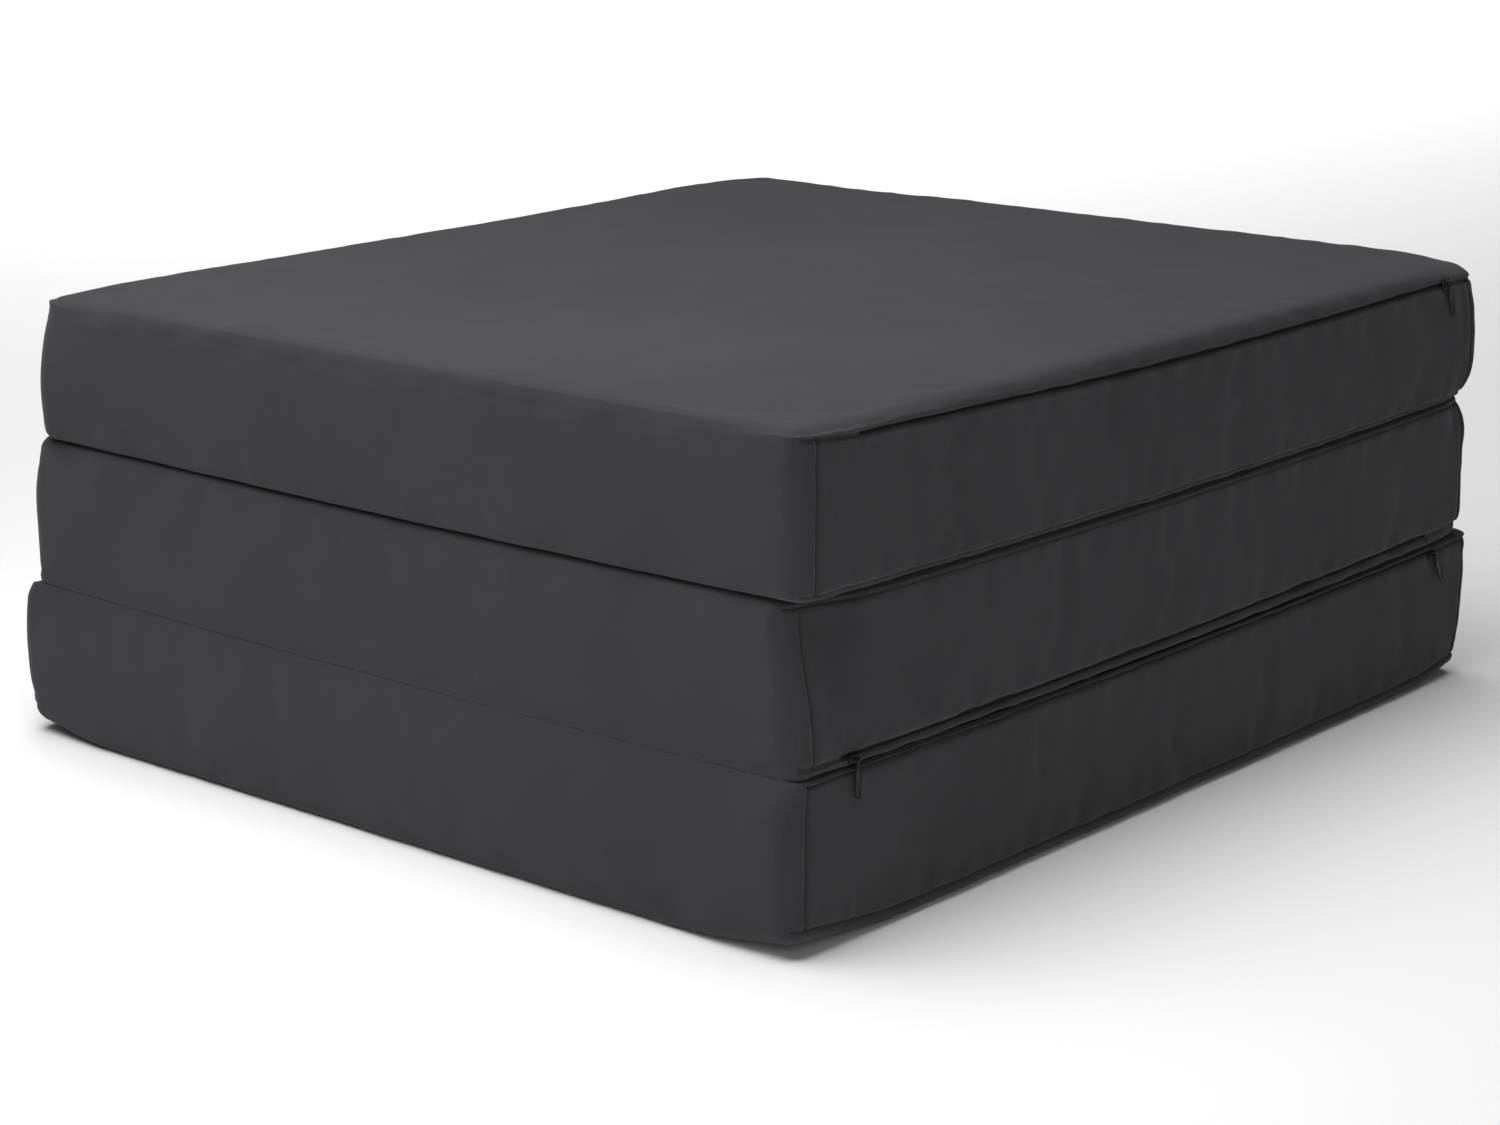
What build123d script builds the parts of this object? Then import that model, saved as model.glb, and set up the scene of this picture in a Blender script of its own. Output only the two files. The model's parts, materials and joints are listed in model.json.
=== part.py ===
"""Three-fold foam guest mattress, folded into a stack of three blocks.

Units are millimetres. +Z is up. The origin is the centre of the underside, on the floor.
X runs along the panel length (the folds are at the two ends) and Y along the mattress width.
Each block is a foam core in a fabric cover: a sheet on the sleeping side, a sheet on the base
side, an end panel at each end, a side panel with a zipper (at low Y) and a plain side panel (at
high Y). The middle block lies with its sleeping side down.
"""
import os

from build123d import *

# --- driving dimensions ------------------------------------------------------------------
WIDTH = 600.0  # mattress width, along Y
PANEL_LENGTH = 665.0  # one third of the unfolded length, along X
LOWER_LEVEL = 92.5  # height of the crease between the bottom and the middle block
UPPER_LEVEL = 182.5  # height of the crease between the middle and the top block
HEIGHT = 271.0  # the folded stack
BLOCK_GAP = 0.3  # air between two stacked blocks

FABRIC = 1.0  # cover fabric with its lining
CORE_GAP = 0.5  # between the cover and the foam
CORNER_RADIUS = 12.0  # upright corners of a block
FREE_EDGE = 10.0  # edge radius where nothing presses on the block
PRESSED_EDGE = 3.5  # sleeping-side edge squeezed between two blocks
BASE_EDGE = 6.0  # base-side edge between two blocks
FOLD_CLEARANCE = 0.6  # from the fold axis to the middle of the two end faces

SEAM_INSET = 12.0  # upright side-panel seams, from the end faces
OVERRUN = 1.0  # how far a cutting box passes the surface that it cuts

# --- zipper ---------------------------------------------------------------------------
SLIT_HALF = 0.9
COIL_HALF_GAP = 0.5
COIL_HEIGHT = 1.4
COIL_DEPTH = 1.6
COIL_SETBACK = 0.2  # between the cover's inner face and the coils
TAPE = 0.5
TAPE_DEPTH = 10.0
STOP_LENGTH = 2.5
STOP_MARGIN = 0.5
CHANNEL_HALF = 6.0  # groove that leaves the foam clear of the zipper
CHANNEL_DEPTH = 12.5
CHANNEL_MARGIN = 5.0

SLIDER_LENGTH = 9.0
SLIDER_HEIGHT = 5.6
SLIDER_PLATE = 1.6
SLIDER_CORNER = 1.9
SLIDER_GAP = 0.3  # between the slider and the cover, and between its wing and the coils
NECK_LENGTH = 4.0
NECK_THICKNESS = 0.5
WING_LENGTH = 8.0
WING_HEIGHT = 3.2
WING_PLATE = 0.8
BAIL_RADIUS = 0.5
BAIL_POST = 1.2
BAIL_HALF = 1.6  # from the middle of the bail to each post
EYE_HOLE = 0.75
EYE_RADIUS = 1.3
EYE_WIDTH = 2.6
EYE_CLEARANCE = 0.2  # between the eye and the slider's plate
PULL_LENGTH = 21.0
PULL_WIDTH = 4.5
PULL_CORNER = 2.0
PULL_THICKNESS = 0.8
PULL_NECK = 4.0
PULL_NECK_WIDTH = 1.8


class Block:
    """One foam block: its box, its edge radii and where its zipper runs."""

    def __init__(self, name, x, y, z, flipped, edges, base_seam, zip_z, zip_x, slider_x, lean):
        self.name = name
        self.x = x
        self.y = y
        self.z = z
        self.flipped = flipped  # sleeping side faces down
        self.low_edge, self.high_edge = edges  # radii of the lower and the upper edges
        self.base_seam = base_seam  # from the base side to the side panels
        self.zip_z = zip_z
        self.zip_x = zip_x
        self.slider_x = slider_x
        self.lean = lean  # how far the hanging pull leans towards +X, degrees


HALF_LENGTH = PANEL_LENGTH / 2
HALF_WIDTH = WIDTH / 2

BOTTOM = Block(
    "bottom",
    x=(-HALF_LENGTH - 8.0, HALF_LENGTH + 11.0),
    y=(-HALF_WIDTH, HALF_WIDTH + 12.0),
    z=(0.0, LOWER_LEVEL),
    flipped=False,
    edges=(FREE_EDGE, PRESSED_EDGE),
    base_seam=8.0,
    zip_z=LOWER_LEVEL - 5.2,
    zip_x=(-290.0, 299.0),
    slider_x=291.0,
    lean=32.0,
)
MIDDLE = Block(
    "middle",
    x=(-HALF_LENGTH - 1.5, HALF_LENGTH + 2.0),
    y=(-HALF_WIDTH, HALF_WIDTH + 2.0),
    z=(LOWER_LEVEL + BLOCK_GAP, UPPER_LEVEL),
    flipped=True,
    edges=(PRESSED_EDGE, BASE_EDGE),
    base_seam=3.0,
    zip_z=LOWER_LEVEL + 5.3,
    zip_x=(-301.0, 287.0),
    slider_x=-293.0,
    lean=2.0,
)
TOP = Block(
    "top",
    x=(-HALF_LENGTH - 1.5, HALF_LENGTH + 3.5),
    y=(-HALF_WIDTH, HALF_WIDTH - 13.0),
    z=(UPPER_LEVEL + BLOCK_GAP, HEIGHT),
    flipped=False,
    edges=(BASE_EDGE, FREE_EDGE),
    base_seam=3.0,
    zip_z=HEIGHT - 11.5,
    zip_x=(-290.0, 298.0),
    slider_x=290.0,
    lean=22.0,
)
BLOCKS = (BOTTOM, MIDDLE, TOP)


def span(x, y, z):
    """A box between two limits on each axis."""
    size = (x[1] - x[0], y[1] - y[0], z[1] - z[0])
    middle = ((x[0] + x[1]) / 2, (y[0] + y[1]) / 2, (z[0] + z[1]) / 2)
    return Pos(*middle) * Box(*size)


def rounded_block(block, inset=0.0):
    """The block's outer form, or the same form drawn in by an inset."""
    limits = [(low + inset, high - inset) for low, high in (block.x, block.y, block.z)]
    form = span(*limits)
    form = fillet(form.edges().filter_by(Axis.Z), CORNER_RADIUS - inset)
    form = fillet(form.faces().sort_by(Axis.Z)[0].edges(), block.low_edge - inset)
    return fillet(form.faces().sort_by(Axis.Z)[-1].edges(), block.high_edge - inset)


def zip_slit(block):
    """The opening in the cover that the zipper closes."""
    y = (block.y[0] - OVERRUN, block.y[0] + FABRIC + OVERRUN)
    return span(block.zip_x, y, (block.zip_z - SLIT_HALF, block.zip_z + SLIT_HALF))


def cover(block):
    """The cover's six fabric pieces, by node name.

    The sleeping-side sheet wraps over its edges down to the zipper's level, and the base-side
    sheet over its own. Four upright panels fill the band between them, and the two end panels
    wrap round the corners to the side panels.
    """
    shell = rounded_block(block) - rounded_block(block, FABRIC) - zip_slit(block)
    x = (block.x[0] - OVERRUN, block.x[1] + OVERRUN)
    y = (block.y[0] - OVERRUN, block.y[1] + OVERRUN)
    if block.flipped:
        base_seam = block.z[1] - block.base_seam
        sleeping_z = (block.z[0] - OVERRUN, block.zip_z)
        base_z = (base_seam, block.z[1] + OVERRUN)
        band_z = (block.zip_z, base_seam)
    else:
        base_seam = block.z[0] + block.base_seam
        sleeping_z = (block.zip_z, block.z[1] + OVERRUN)
        base_z = (block.z[0] - OVERRUN, base_seam)
        band_z = (base_seam, block.zip_z)
    left_seam = block.x[0] + SEAM_INSET
    right_seam = block.x[1] - SEAM_INSET
    return {
        f"{block.name}_sleeping_side_sheet": shell & span(x, y, sleeping_z),
        f"{block.name}_base_side_sheet": shell & span(x, y, base_z),
        f"{block.name}_left_end_panel": shell & span((x[0], left_seam), y, band_z),
        f"{block.name}_right_end_panel": shell & span((right_seam, x[1]), y, band_z),
        f"{block.name}_zip_side_panel": shell & span((left_seam, right_seam), (y[0], 0), band_z),
        f"{block.name}_rear_side_panel": shell & span((left_seam, right_seam), (0, y[1]), band_z),
    }


def foam_core(block):
    """The foam, with a groove that keeps it off the zipper."""
    x = (block.zip_x[0] - CHANNEL_MARGIN, block.zip_x[1] + CHANNEL_MARGIN)
    y = (block.y[0] - OVERRUN, block.y[0] + CHANNEL_DEPTH)
    z = (block.zip_z - CHANNEL_HALF, block.zip_z + CHANNEL_HALF)
    return rounded_block(block, FABRIC + CORE_GAP) - span(x, y, z)


def zipper(block):
    """Both coils, both tapes and the two end stops, by node name."""
    coil_x = (
        block.zip_x[0] + STOP_LENGTH + STOP_MARGIN,
        block.zip_x[1] - STOP_LENGTH - STOP_MARGIN,
    )
    front = block.y[0] + FABRIC + COIL_SETBACK
    coil_y = (front, front + COIL_DEPTH)
    coil_top = COIL_HALF_GAP + COIL_HEIGHT
    nodes = {}
    for side, sign in (("upper", 1), ("lower", -1)):
        coil_z = sorted(block.zip_z + sign * d for d in (COIL_HALF_GAP, coil_top))
        tape_z = sorted(block.zip_z + sign * d for d in (coil_top, coil_top + TAPE))
        nodes[f"{block.name}_zip_{side}_coil"] = span(coil_x, coil_y, coil_z)
        nodes[f"{block.name}_zip_{side}_tape"] = span(
            block.zip_x, (front, front + TAPE_DEPTH), tape_z
        )
    stop_z = (block.zip_z - coil_top, block.zip_z + coil_top)
    stops = [
        span((x, x + STOP_LENGTH), coil_y, stop_z)
        for x in (block.zip_x[0], block.zip_x[1] - STOP_LENGTH)
    ]
    nodes[f"{block.name}_zip_end_stops"] = Compound(children=stops)
    return nodes


def bail_height(block):
    """Y of the slider's bail, the bar that the pull hangs on."""
    plate_face = block.y[0] - SLIDER_GAP - SLIDER_PLATE
    return plate_face - EYE_RADIUS - EYE_CLEARANCE


def slider(block):
    """Outer plate, neck through the slit, wing plate behind the coils, and the bail."""
    x = block.slider_x
    z = block.zip_z
    plate_y = (block.y[0] - SLIDER_GAP - SLIDER_PLATE, block.y[0] - SLIDER_GAP)
    wing_front = block.y[0] + FABRIC + COIL_SETBACK + COIL_DEPTH + SLIDER_GAP
    wing_y = (wing_front, wing_front + WING_PLATE)
    bail_y = bail_height(block)
    plate = span(
        (x - SLIDER_LENGTH / 2, x + SLIDER_LENGTH / 2),
        plate_y,
        (z - SLIDER_HEIGHT / 2, z + SLIDER_HEIGHT / 2),
    )
    plate = fillet(plate.edges().filter_by(Axis.Y), SLIDER_CORNER)
    neck = span(
        (x - NECK_LENGTH / 2, x + NECK_LENGTH / 2),
        (plate_y[0], wing_y[1]),
        (z - NECK_THICKNESS / 2, z + NECK_THICKNESS / 2),
    )
    wing = span(
        (x - WING_LENGTH / 2, x + WING_LENGTH / 2),
        wing_y,
        (z - WING_HEIGHT / 2, z + WING_HEIGHT / 2),
    )
    bail_length = 2 * (BAIL_HALF + BAIL_POST)
    bail = Pos(x, bail_y, z) * Rot(0, 90, 0) * Cylinder(BAIL_RADIUS, bail_length)
    post_y = (bail_y - BAIL_RADIUS, plate_y[1])
    post_z = (z - BAIL_RADIUS, z + BAIL_RADIUS)
    left_post = span((x - BAIL_HALF - BAIL_POST, x - BAIL_HALF), post_y, post_z)
    right_post = span((x + BAIL_HALF, x + BAIL_HALF + BAIL_POST), post_y, post_z)
    return plate + neck + wing + bail + left_post + right_post


def pull(block):
    """The pull tab, hanging from the bail by its eye."""
    pivot = Pos(block.slider_x, bail_height(block), block.zip_z)
    tab_profile = RectangleRounded(PULL_WIDTH, PULL_LENGTH - PULL_NECK, PULL_CORNER)
    tab = extrude(Plane.XZ * tab_profile, amount=PULL_THICKNESS / 2, both=True)
    tab = Pos(0, 0, -(PULL_LENGTH + PULL_NECK) / 2) * tab
    neck = Box(PULL_NECK_WIDTH, PULL_THICKNESS, PULL_NECK - EYE_HOLE)
    neck = Pos(0, 0, -(PULL_NECK + EYE_HOLE) / 2) * neck
    hanging = Rot(0, -block.lean, 0) * (tab + neck)
    eye = Rot(0, 90, 0) * Cylinder(EYE_RADIUS, EYE_WIDTH)
    hole = Rot(0, 90, 0) * Cylinder(EYE_HOLE, EYE_WIDTH + OVERRUN)
    return pivot * ((hanging + eye) - hole)


def build_nodes():
    """Every node's shape, by node name."""
    nodes = {}
    for block in BLOCKS:
        nodes[f"{block.name}_foam_core"] = foam_core(block)
        nodes.update(cover(block))
        nodes.update(zipper(block))
        nodes[f"{block.name}_zip_slider"] = slider(block)
        nodes[f"{block.name}_zip_pull"] = pull(block)
    return nodes


def fold_axes():
    """X of the lower and the upper fold axis."""
    lower = (BOTTOM.x[0] + MIDDLE.x[0]) / 2 - FOLD_CLEARANCE
    upper = (MIDDLE.x[1] + TOP.x[1]) / 2 + FOLD_CLEARANCE
    return lower, upper


os.makedirs("parts", exist_ok=True)
for node_name, shape in build_nodes().items():
    export_step(shape, f"parts/{node_name}.step")
lower_fold, upper_fold = fold_axes()
print(f"fold axes: lower at X {lower_fold}, upper at X {upper_fold}")
for each in BLOCKS:
    print(f"{each.name} bail: X {each.slider_x}, Y {bail_height(each)}, Z {each.zip_z}")
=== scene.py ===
"""Looks of the three-fold foam guest mattress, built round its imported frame.

Each block is drawn on a grid that wraps its box. The grid is rounded at the edges, drawn in at the
folds and the creases, puffed up by a cloth simulation, and then given its seams and puckers. The
six cover sheets are cut from that one surface, so they meet at the seams. Metres throughout.
"""

import json
import math

import bpy
import numpy as np
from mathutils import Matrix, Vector

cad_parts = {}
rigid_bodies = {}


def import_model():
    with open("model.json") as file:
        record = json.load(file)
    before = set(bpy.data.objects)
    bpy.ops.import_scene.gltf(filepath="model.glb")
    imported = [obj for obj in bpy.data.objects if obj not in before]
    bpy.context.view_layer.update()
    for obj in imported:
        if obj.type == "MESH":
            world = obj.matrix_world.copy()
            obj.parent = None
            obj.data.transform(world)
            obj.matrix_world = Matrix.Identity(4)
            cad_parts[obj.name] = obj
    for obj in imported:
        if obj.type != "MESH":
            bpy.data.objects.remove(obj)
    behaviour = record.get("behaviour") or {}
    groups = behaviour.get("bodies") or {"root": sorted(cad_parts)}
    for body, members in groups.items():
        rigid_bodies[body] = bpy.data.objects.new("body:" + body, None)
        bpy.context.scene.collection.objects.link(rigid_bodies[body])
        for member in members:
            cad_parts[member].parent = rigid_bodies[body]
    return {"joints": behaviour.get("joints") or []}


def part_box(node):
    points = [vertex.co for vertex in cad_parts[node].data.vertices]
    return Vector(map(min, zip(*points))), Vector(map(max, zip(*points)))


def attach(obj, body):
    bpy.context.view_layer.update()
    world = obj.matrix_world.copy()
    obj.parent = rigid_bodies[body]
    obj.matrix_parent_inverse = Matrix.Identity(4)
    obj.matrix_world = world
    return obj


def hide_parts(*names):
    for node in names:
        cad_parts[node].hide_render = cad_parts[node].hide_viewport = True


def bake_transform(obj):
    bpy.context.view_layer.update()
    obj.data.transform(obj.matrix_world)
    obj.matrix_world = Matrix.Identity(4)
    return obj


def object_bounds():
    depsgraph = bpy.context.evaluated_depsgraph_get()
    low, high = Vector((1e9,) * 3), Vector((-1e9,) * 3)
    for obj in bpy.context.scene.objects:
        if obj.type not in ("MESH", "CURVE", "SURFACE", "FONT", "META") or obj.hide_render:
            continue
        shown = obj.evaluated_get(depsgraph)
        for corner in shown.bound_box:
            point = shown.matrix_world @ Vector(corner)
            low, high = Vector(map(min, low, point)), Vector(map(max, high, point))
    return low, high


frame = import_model()
cad_low, cad_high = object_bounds()

MM = 0.001
TOUCH = 1e-7  # a point this near a face or an edge is on it
NOT_ZERO = 1e-12  # least length to divide by

# --- cover ---------------------------------------------------------------------------------
COVER = (
    "sleeping_side_sheet",
    "base_side_sheet",
    "left_end_panel",
    "right_end_panel",
    "zip_side_panel",
    "rear_side_panel",
)
SLEEPING, BASE, LEFT_END, RIGHT_END, ZIP_SIDE, REAR_SIDE = range(len(COVER))
NO_PANEL = -1
SHEET = 0.9 * MM  # thickness of the cover fabric
CORNER = 12 * MM  # plan radius of the upright corners, and how far in the upright seams are
SLIT_HALF = 0.8 * MM  # half the height of the slit that shows the zipper
SIDES = ("left", "right", "front", "back")

# Edge radii (across, upright) in millimetres for each side. An edge at a fold stays sharp,
# because the fabric runs straight on to the next block there.
FOLD = (0.1, 0.1)
LOW_EDGES = {
    "bottom": {"left": (6, 7), "right": (6, 7), "front": (6, 7), "back": (6, 7)},
    "middle": {"left": FOLD, "right": (7, 30), "front": (6, 4), "back": (9, 8)},
    "top": {"left": (7, 5), "right": FOLD, "front": (6, 4), "back": (9, 9)},
}
HIGH_EDGES = {
    "bottom": {"left": FOLD, "right": (6, 3), "front": (8, 4), "back": (9, 8)},
    "middle": {"left": (8, 7), "right": FOLD, "front": (7, 5), "back": (9, 9)},
    "top": {"left": (8, 8), "right": (11, 12), "front": (10, 10), "back": (10, 10)},
}
# How far each side draws in at its low and high edge, and over what height, in millimetres.
# An edge at a fold draws in to the fold's waist instead.
NO_TUCK = (0, 1)
LOW_TUCKS = {
    "bottom": {"left": (2, 40), "right": (3, 50), "front": (1, 40), "back": (4, 40)},
    "middle": {"left": "waist", "right": NO_TUCK, "front": NO_TUCK, "back": NO_TUCK},
    "top": {"left": NO_TUCK, "right": "waist", "front": NO_TUCK, "back": NO_TUCK},
}
HIGH_TUCKS = {
    "bottom": {"left": "waist", "right": NO_TUCK, "front": NO_TUCK, "back": (8, 42)},
    "middle": {"left": NO_TUCK, "right": "waist", "front": NO_TUCK, "back": NO_TUCK},
    "top": {"left": NO_TUCK, "right": NO_TUCK, "front": NO_TUCK, "back": NO_TUCK},
}
HALF_GAP = 0.15 * MM  # half the air between two stacked blocks
WAIST_DEPTH = 3.3 * MM  # from the fold axis in to the line where the fabric runs over the fold
WAIST_REACH = (12, 16)  # height of the draw to the waist, in millimetres: least, and more midway
WAIST_POWER = 1.2  # how sharply the fabric turns in to the waist
TUCK_POWER = 2  # and in to the other tucks
TUCK_DEPTH = 70 * MM  # how far into the block a tuck or a waist pulls


def smooth(t):
    """Smooth step from 0 to 1."""
    t = np.clip(t, 0, 1)
    return t * t * (3 - 2 * t)


def bell(distance, width):
    """Bell curve, 1 at no distance."""
    return np.exp(-0.5 * (distance / width) ** 2)


def waves(points, wavelength, seed):
    """Soft random waves of about that length, mostly between -1 and 1, at each point."""
    rng = np.random.RandomState(seed)
    total = np.zeros(len(points))
    count, least, most, peak = 7, 0.6, 1.5, 1.5
    for _ in range(count):
        direction = rng.normal(size=points.shape[1])
        direction /= np.linalg.norm(direction)
        frequency = 2 * math.pi / wavelength * rng.uniform(least, most)
        total += np.sin(points @ direction * frequency + rng.uniform(0, 2 * math.pi))
    return total / count ** 0.5 / peak


class Block:
    """One foam block, with its places read from the frame."""

    def __init__(self, name):
        self.name = name
        self.body = f"{name}_block"
        boxes = [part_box(f"{name}_{piece}") for piece in COVER]
        self.low = np.min([np.array(low) for low, high in boxes], axis=0)
        self.high = np.max([np.array(high) for low, high in boxes], axis=0)
        sleeping, base = boxes[0], boxes[1]
        self.up = 1 if sleeping[0].z > base[1].z else -1  # which way the sleeping side faces
        self.base_z = base[1].z if self.up > 0 else base[0].z
        coils = [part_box(f"{name}_zip_{side}_coil") for side in ("upper", "lower")]
        self.zip_z = (coils[0][0].z + coils[1][1].z) / 2
        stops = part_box(f"{name}_zip_end_stops")
        self.zip_x = (stops[0].x, stops[1].x)
        slider_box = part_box(f"{name}_zip_slider")
        self.pull_way = 1 if slider_box[0].x + slider_box[1].x > 0 else -1


BLOCKS = {name: Block(name) for name in ("bottom", "middle", "top")}
FOLDS = {
    joint["name"]: {
        "x": joint["pos_m"][0],
        "z": joint["pos_m"][2],
        "out": -1 if joint["pos_m"][0] < 0 else 1,
        "blocks": (joint["parent"].split("_")[0], joint["child"].split("_")[0]),
    }
    for joint in frame["joints"]
    if joint["name"].endswith("_fold")
}
# The floor, the two creases and the top.
LEVELS = [0, *sorted(fold["z"] for fold in FOLDS.values()), cad_high.z]
HALF_LENGTH = (cad_high.x - cad_low.x) / 2
HALF_WIDTH = (cad_high.y - cad_low.y) / 2
HALF_HEIGHT = cad_high.z / 2


def waist_x(fold):
    """X of the line where the fabric runs over the fold."""
    return fold["x"] - fold["out"] * WAIST_DEPTH


# --- the grid round a block ---------------------------------------------------------------
COARSE_STEP = 4 * MM  # next to every mark
COARSE_LONGEST = 10 * MM
FINE_X_STEPS = [step * MM for step in (1.5, 0.6, 0.8, 0.8, 0.6, 1.5)]  # at each mark along X
FINE_Y_STEPS = [step * MM for step in (1.2, 2, 2, 1.2)]
FINE_ZIP_STEP = 0.6 * MM
FINE_Z_STEP = 0.9 * MM
FINE_LONGEST = (4.5 * MM, 7 * MM, 3.5 * MM)  # along X, Y and Z
GROWTH = 1.4  # from one grid step to the next


def spread(marks, steps, longest):
    """Grid lines through every mark, with each mark's own step next to it and long ones between."""
    lines = [marks[0]]
    for start, end, first, last in zip(marks, marks[1:], steps, steps[1:]):
        low, high = start, end
        below, above = [], []
        while high - low > 1.5 * min(first, last):
            if first <= last:
                low += first
                below.append(low)
                first = min(first * GROWTH, longest)
            else:
                high -= last
                above.append(high)
                last = min(last * GROWTH, longest)
        lines += below + above[::-1] + [end]
    return np.array(lines)


def grid_lines(block, fine=True):
    """Grid lines of a block along X, Y and Z."""
    low, high = block.low, block.high
    x_marks = [low[0], low[0] + CORNER, *block.zip_x, high[0] - CORNER, high[0]]
    y_marks = [low[1], low[1] + CORNER, high[1] - CORNER, high[1]]
    zip_marks = [block.zip_z - SLIT_HALF, block.zip_z + SLIT_HALF]
    z_marks = sorted([low[2], block.base_z, *zip_marks, high[2]])
    marks = (x_marks, y_marks, z_marks)
    if not fine:
        return [spread(each, [COARSE_STEP] * len(each), COARSE_LONGEST) for each in marks]
    z_steps = [FINE_ZIP_STEP if z in zip_marks else FINE_Z_STEP for z in z_marks]
    steps = (FINE_X_STEPS, FINE_Y_STEPS, z_steps)
    return [spread(*each) for each in zip(marks, steps, FINE_LONGEST)]


class Grid:
    """The surface of a box on a grid: its sharp points and its outward quads."""

    def __init__(self, lines):
        self.lines = lines
        shape = [len(line) for line in lines]
        on_surface = np.zeros(shape, bool)
        for axis in range(3):
            np.moveaxis(on_surface, axis, 0)[[0, -1]] = True
        self.number = np.full(shape, -1)
        self.number[on_surface] = np.arange(on_surface.sum())
        where = np.nonzero(on_surface)
        self.points = np.column_stack([lines[axis][where[axis]] for axis in range(3)])
        self.quads = np.concatenate([self.side_quads(*side) for side in self.sides()])

    @staticmethod
    def sides():
        """The box's six sides: the axis that each faces along, and its end."""
        return [(axis, end) for axis in range(3) for end in (0, -1)]

    def layer(self, axis, end):
        """Point numbers of one side of the box, as a table."""
        return np.take(self.number, end, axis=axis)

    def side_quads(self, axis, end):
        """The quads of one side of the box, facing out."""
        layer = self.layer(axis, end)
        corners = (layer[:-1, :-1], layer[1:, :-1], layer[1:, 1:], layer[:-1, 1:])
        quads = np.stack([corner.ravel() for corner in corners], axis=1)
        return quads[:, ::-1] if (end == 0) != (axis == 1) else quads


def refine(coarse, fine, values):
    """Values at the coarse grid's points, carried smoothly to the fine grid's points."""
    result = np.zeros((len(fine.points), values.shape[1]))
    for axis, end in Grid.sides():
        u, v = [other for other in range(3) if other != axis]
        table = values[coarse.layer(axis, end)]
        along_u = curve_weights(coarse.lines[u], fine.lines[u])
        along_v = curve_weights(coarse.lines[v], fine.lines[v])
        result[fine.layer(axis, end)] = np.einsum("ai,ijc,bj->abc", along_u, table, along_v)
    return result


def curve_weights(knots, places):
    """Weights that carry values at the knots along a smooth curve to other places."""
    index = np.clip(np.searchsorted(knots, places, side="right") - 1, 0, len(knots) - 2)
    gap = (knots[index + 1] - knots[index])[:, None]
    t = (places - knots[index])[:, None] / gap
    value = np.eye(len(knots))
    slope = np.gradient(value, knots, axis=0)
    return (
        (1 + 2 * t) * (1 - t) ** 2 * value[index]
        + t * t * (3 - 2 * t) * value[index + 1]
        + t * (1 - t) ** 2 * gap * slope[index]
        + t * t * (t - 1) * gap * slope[index + 1]
    )


def normals_of(points, quads):
    """Outward vertex normals, weighted by area."""
    corners = points[quads]
    area = np.cross(corners[:, 2] - corners[:, 0], corners[:, 3] - corners[:, 1])
    normals = np.zeros_like(points)
    for corner in range(4):
        np.add.at(normals, quads[:, corner], area)
    length = np.linalg.norm(normals, axis=1, keepdims=True)
    return normals / np.maximum(length, NOT_ZERO)


# --- the form of a block --------------------------------------------------------------------
def side_shares(block, points):
    """How much each point near the outline belongs to each side, and the way out from it."""
    inner = np.clip(points[:, :2], block.low[:2] + CORNER, block.high[:2] - CORNER)
    out = points[:, :2] - inner
    reach = np.abs(out).max(axis=1)
    length = np.linalg.norm(out, axis=1)
    way = out / np.maximum(length, NOT_ZERO)[:, None]
    x, y = way.T
    shares = {
        "left": np.minimum(x, 0) ** 2,
        "right": np.maximum(x, 0) ** 2,
        "front": np.minimum(y, 0) ** 2,
        "back": np.maximum(y, 0) ** 2,
    }
    return inner, reach, way, shares


def mixed(values, shares):
    """One number per point from the numbers of the four sides, in metres."""
    return sum(shares[side] * values[side] for side in SIDES) * MM


LEAST_RADIUS = 0.01 * MM


def round_edge(inset, drop, across, upright):
    """Where a point goes as a sharp edge is rounded to a quarter ellipse."""
    across = np.maximum(across, LEAST_RADIUS)
    upright = np.maximum(upright, LEAST_RADIUS)
    on_cap = drop < TOUCH
    quarter = math.pi / 4
    turn = np.where(
        on_cap,
        quarter * (1 - np.minimum(inset / across, 1)),
        quarter * (1 + np.minimum(drop / upright, 1)),
    )
    new_inset = np.where(on_cap & (inset > across), inset, across * (1 - np.sin(turn)))
    new_drop = np.where(~on_cap & (drop > upright), drop, upright * (1 - np.cos(turn)))
    return new_inset, new_drop


def rounded(block, points):
    """The sharp grid with its upright corners and its low and high edges rounded."""
    inner, reach, way, shares = side_shares(block, points)
    inset = CORNER - reach
    z = points[:, 2].copy()
    upper = z > (block.low[2] + block.high[2]) / 2
    for is_high, edges in ((True, HIGH_EDGES), (False, LOW_EDGES)):
        radii = edges[block.name]
        across = mixed({side: radii[side][0] for side in SIDES}, shares)
        upright = mixed({side: radii[side][1] for side in SIDES}, shares)
        near = (upper == is_high) & (reach > 0)
        drop = block.high[2] - points[:, 2] if is_high else points[:, 2] - block.low[2]
        new_inset, new_drop = round_edge(CORNER - reach, drop, across, upright)
        inset = np.where(near, new_inset, inset)
        moved = block.high[2] - new_drop if is_high else block.low[2] + new_drop
        z = np.where(near, moved, z)
    plan = np.where((reach > 0)[:, None], inner + way * (CORNER - inset)[:, None], points[:, :2])
    return np.column_stack((plan, z))


def tuck_of(block, side, tuck):
    """Amount of a tuck in millimetres, and its height, which at a fold is left as "waist"."""
    if tuck != "waist":
        return tuck
    for fold in FOLDS.values():
        if (side == "left") == (fold["out"] < 0):
            face = block.low[0] if fold["out"] < 0 else block.high[0]
            return (face - waist_x(fold)) * fold["out"] / MM, "waist"


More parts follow.
